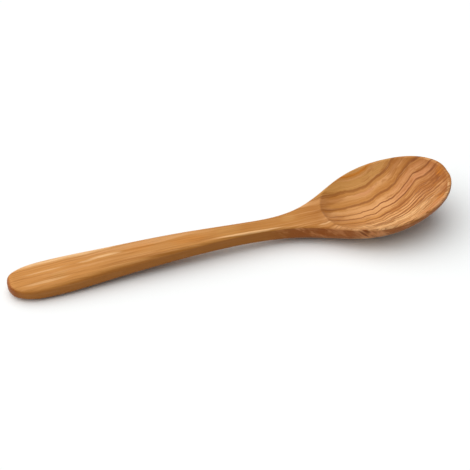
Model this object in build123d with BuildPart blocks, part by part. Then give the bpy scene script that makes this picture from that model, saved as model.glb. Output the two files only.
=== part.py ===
from build123d import *
import math
import os

# A cook's spoon carved from one blank of olive wood: a flat-topped handle with a rounded underside, a slim
# neck, and an oval bowl whose rim rises to the tip. Lengths are in millimetres. Places are measured along the
# spoon from the end of the handle, reaches back from the tip, and heights up from the surface that it lies on.

# Plan view
spoon_length = 300.0
grip_place = 25.0
grip_width = 28.2
neck_reach = 140.0
neck_width = 12.6
bowl_reach = 46.0
bowl_width = 68.3

# Side view: the spoon lies on its grip and on its bowl, and arches clear between them
heel_clearance = 2.0
heel_thickness = 8.4
grip_thickness = 12.3
waist_clearance = 3.7
waist_thickness = 11.9
arch_clearance = 5.5
arch_thickness = 10.9
throat_reach = 102.0
throat_clearance = 2.8
throat_thickness = 12.5
rest_reach = 65.0
rest_thickness = 18.8
bowl_clearance = 2.3
bowl_thickness = 19.6
bilge_reach = 25.0
bilge_clearance = 10.9
bilge_thickness = 15.4
tip_height = 32.0
line_overrun = 4.0

# Depth of the upright side, from the top edge down to where the underside starts to round in
heel_side = 6.5
grip_side = 8.4
arch_side = 9.2
throat_side = 9.6
rest_side = 6.7
bowl_side = 5.3
tip_side = 4.7

# Crown of the top face across the spoon: soft at the grip, all but flat at the rim
grip_crown = 2.0
rim_crown = 0.2

# Edges sanded round: along the top, softer at the grip than at the neck and the rim, along the underside,
# and around the two ends. An edge eased by less than the full round keeps some of its facet.
full_round = 3.2
heel_edge_round = 3.6
grip_edge_round = 4.4
waist_edge_round = 2.8
arch_edge_round = 1.1
rim_edge_round = 0.9
under_round = 1.9
heel_round = 3.0
tip_round = 1.6

# Hollow of the bowl, cut with a round gouge. A shallower and slightly wider pass breaks its sharp lip.
hollow_reach = 88.6
hollow_depth = 13.0
rim_land = 1.9
tip_land = 2.2
lip_ease = 0.3

# Both ends of the plan are full ellipses, the handle's blunter than the tip's, and so is the hollow's edge.
# Stations step round each end by these angles from the centre line, and the first is sanded flat.
heel_power = 2.38
tip_power = 2.15
hollow_power = 2.1
heel_angles = (5.5, 14, 26, 40, 55, 72)
tip_angles = (4, 9, 16, 28, 42, 56, 72)

# Places of the waist and the arch, as shares of the way from the grip to the neck
waist_share = 0.407
arch_share = 0.889

# Handle's taper to the neck, then the neck's flare into the bowl: share of the way and of the change in width
taper_shares = ((0.26, 0.25), (0.63, 0.64))
flare_shares = ((0.32, 0.08), (0.48, 0.27), (0.61, 0.51), (0.77, 0.81))

# Places of the gouge's cut along the hollow, the share of the crown lost by the neck, and the most of a narrow
# section that its rounded edges may take
gouge_shares = (-1.0, -0.9, -0.7, -0.4, 0.0, 0.4, 0.7, 0.9, 1.0)
lip_depth_share = 0.46
neck_crown_share = 0.9
round_width_share = 0.4
top_round_share = 0.35
under_round_share = 0.45

# Values that follow from the sizes
handle_end = -spoon_length / 2
neck_place = spoon_length - neck_reach
bowl_place = spoon_length - bowl_reach
throat_place = spoon_length - throat_reach
rest_place = spoon_length - rest_reach
bilge_place = spoon_length - bilge_reach
hollow_place = spoon_length - hollow_reach
waist_place = grip_place + (neck_place - grip_place) * waist_share
arch_place = grip_place + (neck_place - grip_place) * arch_share
grip_half = grip_width / 2
neck_half = neck_width / 2
bowl_half = bowl_width / 2
hollow_half = bowl_half - rim_land
heel_flat_share = math.cos(math.radians(heel_angles[0]))
tip_flat_share = math.cos(math.radians(tip_angles[0]))


def fullness(share, power):
    """Half width of a full ellipse, as a share of its greatest, at a share of the way to its end."""
    return (1 - share**power) ** (1 / power)


def between(first, last, share):
    """A value at a share of the way from one to another."""
    return first + (last - first) * share


def side_line(*points):
    """A curve through places and heights of the side view, carried straight on at both ends."""
    with BuildLine(Plane((handle_end, 0, 0), x_dir=(1, 0, 0), z_dir=(0, -1, 0))) as line:
        curve = Spline(*points)
        Line(curve @ 0, curve @ 0 - (curve % 0) * line_overrun)
        Line(curve @ 1, curve @ 1 + (curve % 1) * line_overrun)
    return line.line


def height(line, place):
    """Height at which a line of the side view stands at a place along the spoon."""
    upright = Axis((handle_end + place, 0, 0), (0, 0, 1))
    return line.intersect(upright)[0].Z


def end_fall(distance, radius):
    """Fall of a rounded end, at a distance in from where the round would close."""
    inside = max(radius - distance, 0)
    return radius - math.sqrt(radius**2 - inside**2)


def stations():
    """Half of the plan, from the handle's end to the tip, as pairs of a place and a half width."""
    for angle in heel_angles:
        share = math.cos(math.radians(angle))
        yield grip_place * (1 - share / heel_flat_share), grip_half * fullness(share, heel_power)
    yield grip_place, grip_half
    for way_share, width_share in taper_shares:
        yield between(grip_place, neck_place, way_share), between(grip_half, neck_half, width_share)
    yield neck_place, neck_half
    for way_share, width_share in flare_shares:
        yield between(neck_place, bowl_place, way_share), between(neck_half, bowl_half, width_share)
    yield bowl_place, bowl_half
    for angle in reversed(tip_angles):
        share = math.cos(math.radians(angle))
        yield bowl_place + bowl_reach * share / tip_flat_share, bowl_half * fullness(share, tip_power)


# Lines of the side view: the middle of the top, the keel beneath it, and the depth of the upright side
top_line = side_line(
    (0, heel_clearance + heel_thickness),
    (grip_place, grip_thickness),
    (waist_place, waist_clearance + waist_thickness),
    (arch_place, arch_clearance + arch_thickness),
    (throat_place, throat_clearance + throat_thickness),
    (rest_place, rest_thickness),
    (bowl_place, bowl_clearance + bowl_thickness),
    (bilge_place, bilge_clearance + bilge_thickness),
    (spoon_length, tip_height),
)
keel_line = side_line(
    (0, heel_clearance),
    (grip_place, 0),
    (waist_place, waist_clearance),
    (arch_place, arch_clearance),
    (throat_place, throat_clearance),
    (rest_place, 0),
    (bowl_place, bowl_clearance),
    (bilge_place, bilge_clearance),
    (spoon_length, tip_height - tip_side),
)
side_depth_line = side_line(
    (0, heel_side),
    (grip_place, grip_side),
    (arch_place, arch_side),
    (throat_place, throat_side),
    (rest_place, rest_side),
    (bowl_place, bowl_side),
    (spoon_length, tip_side),
)
crown_line = side_line(
    (0, grip_crown),
    (grip_place, grip_crown),
    (neck_place, between(grip_crown, rim_crown, neck_crown_share)),
    (spoon_length, rim_crown),
)
edge_round_line = side_line(
    (0, heel_edge_round),
    (grip_place, grip_edge_round),
    (waist_place, waist_edge_round),
    (arch_place, arch_edge_round),
    (throat_place, rim_edge_round),
    (spoon_length, rim_edge_round),
)


def eased(first, corner, last, ease):
    """An edge worked off between two sides, the rounder the more it is eased."""
    facet = (first + last) / 2
    return Bezier(first, between(facet, corner, min(ease / full_round, 1)), last, mode=Mode.PRIVATE)


def half_section(place, half):
    """One side of a cross section: keel, rounded underside, upright side and crowned top."""
    from_heel = place + grip_place * (1 - heel_flat_share)
    from_tip = spoon_length - place + bowl_reach * (1 - tip_flat_share)
    fall = end_fall(from_heel, heel_round) + end_fall(from_tip, tip_round)
    top = height(top_line, place) - fall
    keel = height(keel_line, place) + fall
    edge = top - height(crown_line, place) * min(half / grip_half, 1)
    chine = max(edge - height(side_depth_line, place) + 2 * fall, keel + rim_crown)
    edge_round = height(edge_round_line, place)
    upper = min(edge_round, round_width_share * half, top_round_share * (edge - chine))
    lower = min(under_round, round_width_share * half, under_round_share * (edge - chine))
    with BuildSketch(Plane((handle_end + place, 0, 0), x_dir=(0, 1, 0), z_dir=(1, 0, 0))) as section:
        with BuildLine():
            under = TangentArc((0, keel), (half, chine), tangent=(1, 0), mode=Mode.PRIVATE)
            over = TangentArc((0, top), (half, edge), tangent=(1, 0), mode=Mode.PRIVATE)
            under_end = 1 - lower / under.length
            over_end = 1 - upper / over.length
            add(under.trim(0, under_end))
            side = Line((half, chine + lower), (half, edge - upper))
            add(over.trim(0, over_end))
            add(eased(under @ under_end, Vector(half, chine), side @ 0, under_round))
            add(eased(side @ 1, Vector(half, edge), over @ over_end, edge_round))
            Line((0, top), (0, keel))
        make_face()
    return section.sketch


# Line along the rim, from the hollow's edge at the neck to its edge at the tip
tip_edge = spoon_length - tip_land
rim_start = Vector(handle_end + hollow_place, 0, height(top_line, hollow_place))
rim_end = Vector(handle_end + tip_edge, 0, height(top_line, tip_edge))
rim_chord = rim_end - rim_start
rim_plane = Plane((rim_start + rim_end) / 2, x_dir=rim_chord, z_dir=(0, -1, 0))


def sag(along):
    """How far the top line lies below the rim's line, at a distance along it from its middle."""
    on_chord = rim_plane.from_local_coords((along, 0, 0))
    return (on_chord.Z - height(top_line, on_chord.X - handle_end)) * rim_chord.X / rim_chord.length


def gouge(depth, ease):
    """One pass of the gouge, which swings about an axis above the rim and cuts as deep as its outline asks."""
    widest = hollow_half + ease
    reach = rim_chord.length / 2 + ease
    axis_height = (widest**2 - depth**2) / (2 * depth) - sag(0)
    swing = []
    for share in gouge_shares:
        half = widest * fullness(abs(share), hollow_power)
        depth_here = math.hypot(axis_height + sag(reach * share), half) - axis_height
        swing.append(Vector(reach * share, -depth_here))
    entry = swing[0] * 2 - swing[1]
    leave = swing[-1] * 2 - swing[-2]
    with BuildSketch(rim_plane) as profile:
        with BuildLine():
            Spline(entry, *swing, leave)
            Polyline(entry, (entry.X, axis_height), (leave.X, axis_height), leave)
        make_face()
    swing_axis = Axis(rim_plane.from_local_coords((0, axis_height, 0)), rim_chord)
    return revolve(profile.sketch, swing_axis, mode=Mode.PRIVATE)


# The spoon is shaped as one half and mirrored, then hollowed
with BuildPart() as spoon:
    loft([half_section(place, half) for place, half in stations()])
    mirror(about=Plane.XZ)
    add(gouge(hollow_depth, 0), mode=Mode.SUBTRACT)
    add(gouge(hollow_depth * lip_depth_share, lip_ease), mode=Mode.SUBTRACT)

spoon.part.label = "spoon"
os.makedirs("parts", exist_ok=True)
export_step(spoon.part, "parts/spoon.step")
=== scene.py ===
import math
from types import SimpleNamespace

import bpy
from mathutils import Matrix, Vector

# A cook's spoon of oiled olive wood on a pale floor. The scene is in metres: +X runs from the end of the
# handle to the tip of the bowl, and +Z is up. The tables of tones, layers and marks are in millimetres.
millimetre = 0.001

# Camera, and the point that it looks at: above the floor at the spoon's middle, then a little right and up
camera_azimuth = math.radians(-17.05)
camera_elevation = math.radians(40.07)
camera_distance = 0.9046
camera_lens = 105.49
camera_sensor = 36.0
aim_height = 0.010
aim_right = 0.0008
aim_up = 0.00128

# Light: one very broad lamp high above, to the left and a little behind, and an even, slightly cooler sky.
# Seen itself, the sky is plain white.
lamp_azimuth = math.radians(-112)
lamp_elevation = math.radians(65)
lamp_spread = math.radians(100)
lamp_strength = 2.85
lamp_colour = (1, 0.99, 0.97)
sky_strength = 0.25
sky_colour = (0.82, 0.94, 1, 1)
seen_sky_strength = 1.0
seen_sky_colour = (1, 1, 1, 1)

# Floor: its colour as the camera sees it, and a darker one for the light that it throws back
floor_half = 4.0
floor_colour = (0.985, 0.985, 0.985, 1)
floor_bounce = (0.5, 0.5, 0.5, 1)
floor_roughness = 0.9
floor_gloss = 0.0

# Colours of the wood
heel_wood = (0.59, 0.245, 0.053, 1)
tan_wood = (0.55, 0.232, 0.052, 1)
neck_wood = (0.495, 0.197, 0.036, 1)
heart_wood = (0.435, 0.16, 0.026, 1)
brown_wood = (0.40, 0.135, 0.019, 1)
late_wood = (0.33, 0.105, 0.006, 1)
line_wood = (0.22, 0.056, 0.006, 1)
gold_wood = (0.585, 0.275, 0.070, 1)
light_wood = (0.71, 0.345, 0.125, 1)
bright_wood = (0.86, 0.50, 0.225, 1)
pink_wood = (0.61, 0.245, 0.095, 1)
orange_wood = (0.62, 0.20, 0.012, 1)
# Tones of the upright sides: partly the wood's side grain and partly painted shade
bowl_side_wood_and_shade = (0.35, 0.085, 0.010, 1)
handle_side_wood_and_shade = (0.47, 0.16, 0.023, 1)
blotch_wood = (0.70, 0.27, 0.095, 1)
# Tone of the ends: end grain, darkened further as painted shade
end_grain_and_shade = (0.32, 0.08, 0.008, 1)

# Tone of the handle and the flare by place along the spoon, from the middle of its length
handle_tones = (
    (-150, heel_wood), (-110, heel_wood), (-80, tan_wood), (-20, tan_wood), (5, neck_wood), (40, neck_wood),
    (62, heart_wood),
)

# The growth layers stand upright. They run straight along the handle and sweep across the bowl: each point
# pairs a place along the spoon with how far the layers have moved across it.
sweep_points = (
    (60, 0), (72, 3.6), (84, 5.9), (96, 6.9), (108, 10.7), (116, 12.6), (124, 16.2), (130, 18.4), (134, 19.8),
    (138, 19.0), (150, 20.2),
)

# Tone of the layers by their place across the spoon, from its middle, where they leave the neck
layer_tones = (
    (-44, light_wood), (-39, bright_wood), (-36, light_wood), (-33, bright_wood), (-30, bright_wood),
    (-27, light_wood), (-24, light_wood), (-21, light_wood), (-18, light_wood), (-15, tan_wood),
    (-11.5, light_wood), (-9, light_wood), (-6, light_wood), (-2, light_wood), (1, tan_wood), (6, tan_wood),
    (9.5, light_wood), (11, tan_wood), (13, tan_wood), (14.5, gold_wood), (19, gold_wood), (21.5, tan_wood),
    (22.7, orange_wood), (23.8, gold_wood), (27, tan_wood),
)

# Dark lines between the layers: place across, half width and strength. They are full out to a share of their
# half width.
layer_lines = (
    (13.4, 1.3, 0.6), (2.3, 1.3, 0.6), (-5.2, 0.75, 0.85), (-10.1, 0.8, 0.8), (-15.8, 1.0, 0.5),
    (-18.6, 0.7, 0.6), (-21.3, 0.6, 0.7), (-23.9, 0.6, 0.75), (-26.8, 0.8, 0.85), (-29.4, 0.5, 0.4),
    (-35.5, 1.3, 0.4), (-40.5, 0.8, 0.4),
)
line_core = 0.3

# How far the layers move across the spoon where they waver and where they jog
waver_size = 3.6
jog_size = 3.0

# Patches and streaks, in the order that they are laid: tone, place along the spoon and across the layers,
# half length, half width and strength
patches = (
    (bright_wood, -86, 1.3, 11, 1.3, 0.8),
    (bright_wood, -98, 0.3, 7, 0.9, 0.6),
    (light_wood, -56, 3.0, 20, 1.3, 0.6),
    (light_wood, -66, -5.4, 12, 1.6, 0.4),
    (bright_wood, -124, 0.6, 16, 1.1, 0.6),
    (bright_wood, -126, -8.5, 17, 1.2, 0.5),
    # Painted highlight: a pale band along the rounded far edge of the grip, where it catches the lamp
    (bright_wood, -104, 11.0, 54, 3.6, 1.0),
    (late_wood, -98, 6.4, 56, 0.5, 0.6),
    (light_wood, -62, 5.2, 46, 2.4, 0.7),
    (late_wood, -75, 3.9, 30, 0.5, 0.3),
    (late_wood, -130, -2.2, 16, 0.6, 0.4),
    (late_wood, -62, -7.6, 44, 0.9, 0.5),
    (late_wood, -38, -9.0, 30, 0.7, 0.5),
    # Painted highlight: a thin light line along the near top edge of the neck
    (bright_wood, 10, -5.2, 26, 0.8, 0.9),
    (gold_wood, -117, -5.0, 7, 4.0, 0.6),
    (gold_wood, -4, 0.5, 10, 4.0, 0.5),
    (gold_wood, 38, 2.0, 6, 4.0, 0.5),
    (orange_wood, -32, -1.0, 14, 4.0, 0.3),
    (orange_wood, -64, 1.0, 10, 4.0, 0.25),
    (bright_wood, 61, -11.2, 6, 1.0, 0.8),
    (light_wood, 57, 11.5, 13, 2.0, 0.8),
    (late_wood, 66, 1.3, 10, 2.4, 0.75),
    (late_wood, 68, 7.5, 9, 1.1, 0.5),
    (brown_wood, 70, -8.0, 8, 4.0, 0.5),
    (brown_wood, 74, -15.0, 17, 10.0, 0.45),
    (bright_wood, 100, -26.0, 20, 4.5, 0.75),
    (bright_wood, 86, -23.0, 9, 3.4, 0.6),
    (brown_wood, 84, -30.5, 8, 2.0, 0.5),
    (light_wood, 86, 0.0, 9, 3.0, 0.6),
    (heart_wood, 76, -4.5, 12, 2.2, 0.5),
    (brown_wood, 75, 9.5, 10, 3.5, 0.5),
    (brown_wood, 117, -15.8, 12, 3.6, 0.8),
    (brown_wood, 138, -19.5, 12, 4.0, 0.7),
    (heart_wood, 134, -3.0, 22, 13.0, 0.4),
    (heart_wood, 119, -12.6, 9, 4.0, 0.6),
    (heart_wood, 126, -11.0, 6, 4.0, 0.6),
    (heart_wood, 135, 1.5, 8, 4.0, 0.5),
    (heart_wood, 62, 3.0, 10, 10.0, 0.4),
    (pink_wood, 128, -7.8, 20, 2.4, 0.8),
    (pink_wood, 128, -1.5, 16, 3.0, 0.4),
    (late_wood, 130, 2.2, 9, 2.3, 0.6),
    (brown_wood, 123, 10.0, 8, 4.0, 0.6),
    (brown_wood, 140, -37.0, 10, 5.0, 0.25),
    (orange_wood, 147, -16.2, 4, 4.5, 1.0),
    (orange_wood, 136, -38.4, 5, 5.0, 0.6),
    (pink_wood, 130, -45.0, 14, 6.0, 0.5),
    (line_wood, 142, -10.3, 10, 0.8, 0.7),
    (line_wood, 138, -5.3, 8, 0.7, 0.5),
    (brown_wood, 122, -24.0, 14, 1.4, 0.5),
    (bright_wood, 116, -31.5, 18, 2.4, 0.6),
    (bright_wood, 128, -35.5, 12, 3.6, 0.6),
    (brown_wood, 148.5, -33.0, 4, 9.0, 0.9),
    (light_wood, 141, -28.0, 9, 4.0, 0.6),
    (brown_wood, 149.5, -14.0, 3, 9.0, 0.9),
    (brown_wood, 133, -29.5, 9, 1.2, 0.35),
    (pink_wood, 100, 9.0, 12, 1.6, 0.5),
    (late_wood, 72, 13.6, 12, 1.8, 0.5),
)

# Where a patch fades in, as shares of the way out to its edge, and how clouds and threads make it ragged
patch_edge = (1.15, 0.45)
cloud_tatter = 1.2
thread_tatter = 1.4
tatter_level = -1.3

# Hooked mark of a small knot on the near rim, as two ovals: middle, half sizes and strength. The ovals lean
# back as they rise, as the blotches on the sides do, so their place along the spoon is given at the floor.
knot_marks = (((102.9, -26.3, 17.6), (3.6, 6.0, 2.4), 1.0), ((98.5, -26.3, 14.8), (2.2, 6.0, 3.2), 0.9))
knot_edge = (1.0, 0.4)
lean = 1.2

# Noises of the grain: pitches per metre along, across and up, then detail and roughness
waver_noise = ((50, 14, 14), 1.0, 0.5)
jog_noise = ((150, 45, 45), 2.5, 0.5)
top_streak_noise = ((13, 420, 60), 3.0, 0.6)
side_streak_noise = ((13, 60, 420), 3.0, 0.6)
thread_noise = ((26, 1100, 160), 2.0, 0.6)
fibre_noise = ((95, 2600, 1400), 2.0, 0.6)
figure_noise = ((15, 260, 60), 2.0, 0.5)
cloud_noise = ((22, 75, 60), 2.0, 0.5)
blotch_noise = ((100, 45, 110), 3.0, 0.65)
curl_noise = ((110, 330, 240), 2.0, 0.6)
noise_middle = 0.5

# Smooth steps follow. Each has two levels of the value that drives it, then the shares that it gives there,
# where these aren't zero and one.

# Steps by place along the spoon, in metres. The layers show in the bowl, and bend less on the handle.
bowl_by_place = (0.056, 0.067)
bends_by_place = (0.056, 0.067, 0.2, 1.0)
figure_by_place = (0.074, 0.092)
curls_by_place = (0.085, 0.125)
contrast_by_place = (0.085, 0.125, 1.0, 1.35)
calm_by_place = (0.108, 0.088)
blotches_by_place = (0.12, 0.09, 0.25, 1.0)
flare_by_place = (0.015, 0.045)
brown_by_place = (0.143, 0.149, 0.0, 0.7)

# Steps by how far the surface faces up, along the spoon, and out from its middle. The upright sides and the
# ends have darker tones of their own, partly grain and partly painted shade. Where the bowl begins, its rim
# and
# outer side are calm: they cross the layers at a slant, and streaks would show there as dashes.
side_by_facing = (0.78, 0.3)
end_by_facing = (0.3, 0.75, 0.0, 0.85)
calm_by_facing = (-0.05, 0.03)
side_share = 0.85

# Steps by how much of the surface is upright side, or calm: the share of each mark that is left there
patches_on_side = (0.6, 1.0, 1.0, 0.2)
lines_on_side = (0.0, 1.0, 1.0, 0.1)
figure_on_side = (0.0, 1.0, 1.0, 0.0)
pale_streaks_on_side = (0.0, 1.0, 1.0, 0.4)
threads_on_side = (0.0, 1.0, 1.0, 0.2)
lines_on_calm = (0.0, 1.0, 1.0, 0.35)

# Steps by place across the layers, in metres, and by the noises
figure_by_layer = (-0.011, -0.017)
figure_by_ridge = (0.035, 0.008, 0.0, 0.75)
lines_by_clouds = (0.3, 0.6, 0.6, 1.0)
blotches_by_noise = (0.45, 0.62)
pale_by_streaks = (0.55, 0.78, 0.0, 0.6)
dark_by_streaks = (0.45, 0.25, 0.0, 0.5)
dark_by_threads = (0.47, 0.3, 0.0, 0.5)
pale_by_threads = (0.56, 0.72, 0.0, 0.4)
dark_by_fibres = (0.44, 0.24, 0.0, 0.35)
brown_by_curls = (0.5, 0.32, 0.0, 0.65)
roughness_by_streaks = (0.3, 0.7, 0.5, 0.38)

# Finish: how much the fibres count in the grooves, how strong and deep these are, and the gloss of the oil
groove_fibres = 0.6
groove_strength = 0.35
groove_depth = 0.0003
wood_gloss = 0.18

# Numbers of the colour sockets of a mix node
mix_share, mix_first, mix_second, mix_result = 0, 6, 7, 2


def node(tree, kind, inputs=None, **settings):
    """A node with its settings made and its inputs linked or set."""
    made = tree.nodes.new(kind)
    for name, value in settings.items():
        setattr(made, name, value)
    for key, value in (inputs or {}).items():
        if isinstance(value, bpy.types.NodeSocket):
            tree.links.new(value, made.inputs[key])
        else:
            made.inputs[key].default_value = value
    return made


def sums(tree, operation, *values):
    """The outcome of one sum on numbers and sockets."""
    return node(tree, "ShaderNodeMath", dict(enumerate(values)), operation=operation).outputs[0]


def times(tree, product, *others):
    """The product of numbers and sockets."""
    for other in others:
        product = sums(tree, "MULTIPLY", product, other)
    return product


def stepped(tree, value, low, high, start=0.0, end=1.0):
    """A smooth step of a value from one level to another."""
    inputs = {"Value": value, "From Min": low, "From Max": high, "To Min": start, "To Max": end}
    return node(tree, "ShaderNodeMapRange", inputs, interpolation_type="SMOOTHSTEP").outputs[0]


def mixed(tree, share, first, second):
    """Two colours mixed by a share."""
    inputs = {mix_share: share, mix_first: first, mix_second: second}
    return node(tree, "ShaderNodeMix", inputs, data_type="RGBA").outputs[mix_result]


def laid(tree, colour, tone, *shares):
    """A tone laid over a colour, as far as all of its shares let it show."""
    return mixed(tree, times(tree, *shares), colour, tone)


def grain_noise(tree, place, pitches, detail, roughness):
    """Noise drawn out along the grain, with a pitch for each of the three parts of a place."""
    parts = [sums(tree, "MULTIPLY", part, pitch) for part, pitch in zip(place, pitches)]
    vector = node(tree, "ShaderNodeCombineXYZ", dict(enumerate(parts))).outputs[0]
    inputs = {"Vector": vector, "Scale": 1.0, "Detail": detail, "Roughness": roughness}
    return node(tree, "ShaderNodeTexNoise", inputs).outputs[0]


def calmed(tree, noise, calm):
    """A noise that falls back to its middle value where the surface is calm."""
    return sums(tree, "MULTIPLY_ADD", calm, sums(tree, "SUBTRACT", noise_middle, noise), noise)


def way(tree, place, first, last):
    """Share of the way from one place in millimetres to another at which a place in metres lies."""
    inputs = {"Value": place, "From Min": first * millimetre, "From Max": last * millimetre}
    return node(tree, "ShaderNodeMapRange", inputs).outputs[0]


def toned(tree, place, tones):
    """Colour by a place, from pairs of a place and a tone."""
    first, last = tones[0][0], tones[-1][0]
    ramp = node(tree, "ShaderNodeValToRGB", {0: way(tree, place, first, last)})
    stops = ramp.color_ramp.elements
    while len(stops) < len(tones):
        stops.new(1)
    for stop, (stand, tone) in zip(stops, tones):
        stop.position = (stand - first) / (last - first)
        stop.color = tone
    return ramp.outputs[0]


def swept(tree, x):
    """How far the growth layers have moved across the spoon at a place along it."""
    first, last = sweep_points[0][0], sweep_points[-1][0]
    most = max(sweep for place, sweep in sweep_points)
    shape = node(tree, "ShaderNodeFloatCurve", {"Value": way(tree, x, first, last)})
    points = shape.mapping.curves[0].points
    while len(points) < len(sweep_points):
        points.new(0.5, 0.5)
    for point, (place, sweep) in zip(points, sweep_points):
        point.location = ((place - first) / (last - first), sweep / most)
    shape.mapping.update()
    return times(tree, shape.outputs[0], most * millimetre)


def moved(tree, place, noise, size):
    """How far a noise moves the growth layers across the spoon at a place."""
    play = sums(tree, "SUBTRACT", grain_noise(tree, place, *noise), noise_middle)
    return times(tree, play, size * millimetre)


def layered(tree, x, y, z):
    """Place across the growth layers, which sweep, waver and jog."""
    waver = moved(tree, (x, y, z), waver_noise, waver_size)
    jogs = moved(tree, (x, y, z), jog_noise, jog_size)
    bends = sums(tree, "ADD", waver, jogs)
    straight = sums(tree, "SUBTRACT", y, swept(tree, x))
    return sums(tree, "MULTIPLY_ADD", bends, stepped(tree, x, *bends_by_place), straight)


def placed(tree):
    """Where a point of the wood lies, in the block and in its layers, and how its surface cuts them."""
    coordinates = node(tree, "ShaderNodeTexCoord").outputs
    x, y, z = node(tree, "ShaderNodeSeparateXYZ", {0: coordinates["Object"]}).outputs
    along, sideways, up = node(tree, "ShaderNodeSeparateXYZ", {0: coordinates["Normal"]}).outputs
    across = layered(tree, x, y, z)
    in_bowl = stepped(tree, x, *bowl_by_place)
    outward = times(tree, sideways, sums(tree, "SIGN", y))
    leaning = sums(tree, "MULTIPLY_ADD", z, lean, x)
    return SimpleNamespace(
        x=x,
        across=across,
        in_bowl=in_bowl,
        in_block=(x, y, z),
        in_layers=(x, across, z),
        in_lean=(leaning, y, z),
        side=stepped(tree, sums(tree, "ABSOLUTE", up), *side_by_facing),
        end=stepped(tree, sums(tree, "ABSOLUTE", along), *end_by_facing),
        calm=times(tree, stepped(tree, outward, *calm_by_facing), stepped(tree, x, *calm_by_place), in_bowl),
    )


def grained(tree, at):
    """The noises of the grain. Streaks are narrow across the top, and narrow up and down the sides."""
    top_streaks = grain_noise(tree, at.in_layers, *top_streak_noise)
    side_streaks = grain_noise(tree, at.in_block, *side_streak_noise)
    beside = times(tree, at.side, sums(tree, "SUBTRACT", side_streaks, top_streaks))
    streaks = sums(tree, "ADD", top_streaks, beside)
    threads = grain_noise(tree, at.in_layers, *thread_noise)
    clouds = grain_noise(tree, at.in_layers, *cloud_noise)
    tatters = sums(tree, "MULTIPLY_ADD", threads, thread_tatter, tatter_level)
    figure = grain_noise(tree, at.in_layers, *figure_noise)
    return SimpleNamespace(
        streaks=calmed(tree, streaks, at.calm),
        threads=calmed(tree, threads, at.calm),
        clouds=clouds,
        ragged=sums(tree, "MULTIPLY_ADD", clouds, cloud_tatter, tatters),
        ridge=sums(tree, "ABSOLUTE", sums(tree, "SUBTRACT", figure, noise_middle)),
        fibres=grain_noise(tree, at.in_layers, *fibre_noise),
        blotches=grain_noise(tree, at.in_lean, *blotch_noise),
        curls=grain_noise(tree, at.in_layers, *curl_noise),
    )


def wood_and_side_shade(tree, at, grain):
    """Tone of the handle and of the layers in the bowl, and those of the sides and the ends, partly grain and
    partly painted shade.
    """
    colour = mixed(tree, at.in_bowl, toned(tree, at.x, handle_tones), toned(tree, at.across, layer_tones))
    blotched = stepped(tree, grain.blotches, *blotches_by_noise)
    bowl_side = laid(tree, bowl_side_wood_and_shade, blotch_wood, blotched, stepped(tree, at.x, *blotches_by_place))
    side_grain_and_shade = mixed(tree, stepped(tree, at.x, *flare_by_place), handle_side_wood_and_shade, bowl_side)
    # The sides and ends are laid darker: partly their own grain, partly painted shade
    colour = laid(tree, colour, side_grain_and_shade, at.side, side_share)
    return laid(tree, colour, end_grain_and_shade, at.end)


def away(tree, place, middle, half_sizes):
    """How far a place is from the middle of an oval, whose edge is at one."""
    inputs = {"Vector": place, "Location": [part * millimetre for part in middle],
              "Scale": [part * millimetre for part in half_sizes]}
    inside = node(tree, "ShaderNodeMapping", inputs, vector_type="TEXTURE").outputs[0]
    return node(tree, "ShaderNodeVectorMath", {0: inside}, operation="LENGTH").outputs["Value"]


def patched(tree, colour, at, grain):
    """Patches and streaks with ragged edges laid over a colour, among them painted highlights along two edges
    of the handle.
    """
    place = node(tree, "ShaderNodeCombineXYZ", {0: at.x, 1: at.across}).outputs[0]
    shown = stepped(tree, at.side, *patches_on_side)
    for tone, along, stand, half_length, half_width, most in patches:
        out = away(tree, place, (along, stand, 0), (half_length, half_width, 1))
        inside = stepped(tree, sums(tree, "ADD", out, grain.ragged), *patch_edge, 0.0, most)
        colour = laid(tree, colour, tone, inside, shown)
    return colour


def knotted(tree, colour, at):
    """A knot's dark marks laid over a colour."""
    place = node(tree, "ShaderNodeCombineXYZ", dict(enumerate(at.in_lean))).outputs[0]
    for middle, half_sizes, most in knot_marks:
        inside = stepped(tree, away(tree, place, middle, half_sizes), *knot_edge, 0.0, most)
        colour = laid(tree, colour, line_wood, inside)
    return colour


def layer_line(tree, across):
    """Strength of the dark lines between the growth layers."""
    strength = 0.0
    for stand, half_width, most in layer_lines:
        gap = sums(tree, "ABSOLUTE", sums(tree, "SUBTRACT", across, stand * millimetre))
        line = stepped(tree, gap, half_width * millimetre, half_width * line_core * millimetre, 0.0, most)
        strength = sums(tree, "MAXIMUM", strength, line)
    return strength


def lined(tree, colour, at, grain):
    """Dark lines between the layers, and the finer lines of figure on the near half, laid over a colour."""
    colour = laid(tree, colour, line_wood, layer_line(tree, at.across), at.in_bowl,
                  stepped(tree, at.side, *lines_on_side), stepped(tree, at.x, *contrast_by_place),
                  stepped(tree, at.calm, *lines_on_calm), stepped(tree, grain.clouds, *lines_by_clouds))
    return laid(tree, colour, line_wood, at.in_bowl, stepped(tree, at.across, *figure_by_layer),
                stepped(tree, at.x, *figure_by_place), stepped(tree, at.side, *figure_on_side),
                stepped(tree, grain.ridge, *figure_by_ridge))


def streaked(tree, colour, at, grain):
    """Streaks, threads and fibres, pale and dark, laid over a colour."""
    pale_shown = stepped(tree, at.side, *pale_streaks_on_side)
    threads_shown = stepped(tree, at.side, *threads_on_side)
    colour = laid(tree, colour, light_wood, stepped(tree, grain.streaks, *pale_by_streaks), pale_shown)
    colour = laid(tree, colour, late_wood, stepped(tree, grain.streaks, *dark_by_streaks))
    colour = laid(tree, colour, late_wood, stepped(tree, grain.threads, *dark_by_threads), threads_shown)
    colour = laid(tree, colour, light_wood, stepped(tree, grain.threads, *pale_by_threads), threads_shown)
    return laid(tree, colour, late_wood, stepped(tree, grain.fibres, *dark_by_fibres))


def browned(tree, colour, at, grain):
    """Curly figure towards the tip, and the darker tip itself, laid over a colour."""
    curled = stepped(tree, grain.curls, *brown_by_curls)
    colour = laid(tree, colour, brown_wood, stepped(tree, at.x, *curls_by_place), curled)
    return laid(tree, colour, brown_wood, stepped(tree, at.x, *brown_by_place))


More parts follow.
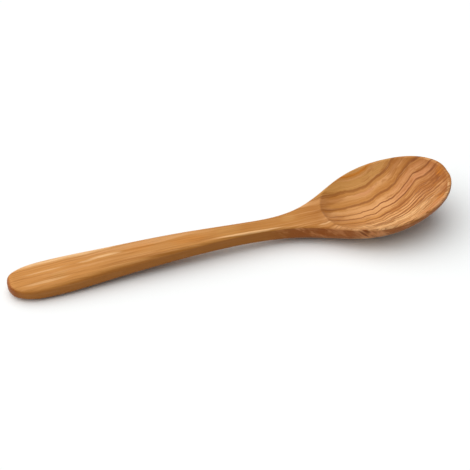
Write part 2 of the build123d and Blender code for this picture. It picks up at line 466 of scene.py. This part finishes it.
def olive_wood():
    """Oiled olive wood: swept growth layers with dark lines, patches, streaks, fibres and end grain, with
    painted highlights on two edges of the handle and painted shade on the sides and ends.
    """
    material = bpy.data.materials.new("olive_wood_grain_and_painted_light")
    material.use_nodes = True
    tree = material.node_tree
    at = placed(tree)
    grain = grained(tree, at)
    colour = wood_and_side_shade(tree, at, grain)
    for layer in (patched, lined, streaked, browned):
        colour = layer(tree, colour, at, grain)
    colour = knotted(tree, colour, at)

    shader = tree.nodes["Principled BSDF"]
    tree.links.new(colour, shader.inputs["Base Color"])
    tree.links.new(stepped(tree, grain.streaks, *roughness_by_streaks), shader.inputs["Roughness"])
    grooves = sums(tree, "MULTIPLY_ADD", grain.fibres, groove_fibres, grain.streaks)
    depths = {"Height": grooves, "Strength": groove_strength, "Distance": groove_depth}
    bump = node(tree, "ShaderNodeBump", depths)
    tree.links.new(bump.outputs[0], shader.inputs["Normal"])
    shader.inputs["Specular IOR Level"].default_value = wood_gloss
    return material


def seen_share(tree):
    """One for what the camera, gloss and glass see, and zero for what only lights the object."""
    path = node(tree, "ShaderNodeLightPath").outputs
    seen = sums(tree, "MAXIMUM", path["Is Camera Ray"], path["Is Glossy Ray"])
    return sums(tree, "MAXIMUM", seen, path["Is Transmission Ray"])


def floor():
    """A plain pale floor."""
    mesh = bpy.data.meshes.new("floor")
    corners = [(-floor_half, -floor_half, 0), (floor_half, -floor_half, 0),
               (floor_half, floor_half, 0), (-floor_half, floor_half, 0)]
    mesh.from_pydata(corners, [], [(0, 1, 2, 3)])
    piece = bpy.data.objects.new("floor", mesh)
    bpy.context.scene.collection.objects.link(piece)
    material = bpy.data.materials.new("pale_floor")
    material.use_nodes = True
    tree = material.node_tree
    shader = tree.nodes["Principled BSDF"]
    tree.links.new(mixed(tree, seen_share(tree), floor_bounce, floor_colour), shader.inputs["Base Color"])
    shader.inputs["Roughness"].default_value = floor_roughness
    shader.inputs["Specular IOR Level"].default_value = floor_gloss
    mesh.materials.append(material)


def sky():
    """An even, cool sky that the camera, gloss and glass see as white."""
    world = bpy.data.worlds.new("sky")
    world.use_nodes = True
    tree = world.node_tree
    background = tree.nodes["Background"]
    seen = seen_share(tree)
    strength = sums(tree, "MULTIPLY_ADD", seen, seen_sky_strength - sky_strength, sky_strength)
    tree.links.new(strength, background.inputs["Strength"])
    tree.links.new(mixed(tree, seen, sky_colour, seen_sky_colour), background.inputs["Color"])
    bpy.context.scene.world = world


def direction(azimuth, elevation):
    """Unit direction from the spoon: azimuth 0 is in front of it, and a positive one is to the right."""
    level = math.cos(elevation)
    return Vector((math.sin(azimuth) * level, -math.cos(azimuth) * level, math.sin(elevation)))


def lamp():
    """A broad lamp above the spoon, to its left and a little behind it."""
    data = bpy.data.lights.new("lamp", "SUN")
    data.energy = lamp_strength
    data.angle = lamp_spread
    data.color = lamp_colour
    piece = bpy.data.objects.new("lamp", data)
    toward = direction(lamp_azimuth, lamp_elevation)
    piece.rotation_euler = toward.to_track_quat("Z", "Y").to_euler()
    bpy.context.scene.collection.objects.link(piece)


def camera():
    """The photograph's camera."""
    back = direction(camera_azimuth, camera_elevation)
    turned = back.to_track_quat("Z", "Y")
    right = turned @ Vector((1, 0, 0))
    up = turned @ Vector((0, 1, 0))
    data = bpy.data.cameras.new("camera")
    data.lens = camera_lens
    data.sensor_width = camera_sensor
    piece = bpy.data.objects.new("camera", data)
    aim = Vector((0, 0, aim_height)) + right * aim_right + up * aim_up
    piece.location = aim + back * camera_distance
    piece.rotation_euler = turned.to_euler()
    bpy.context.scene.collection.objects.link(piece)
    bpy.context.scene.camera = piece


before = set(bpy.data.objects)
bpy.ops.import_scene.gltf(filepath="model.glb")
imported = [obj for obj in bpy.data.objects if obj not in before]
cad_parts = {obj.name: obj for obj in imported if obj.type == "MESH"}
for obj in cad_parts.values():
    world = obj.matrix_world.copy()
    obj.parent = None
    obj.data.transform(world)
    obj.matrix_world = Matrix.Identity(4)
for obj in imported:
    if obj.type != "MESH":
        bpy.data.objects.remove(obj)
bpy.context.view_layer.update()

wood = olive_wood()
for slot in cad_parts["spoon"].material_slots:
    slot.material = wood
floor()
sky()
lamp()
camera()
bpy.context.scene.view_settings.view_transform = "Standard"
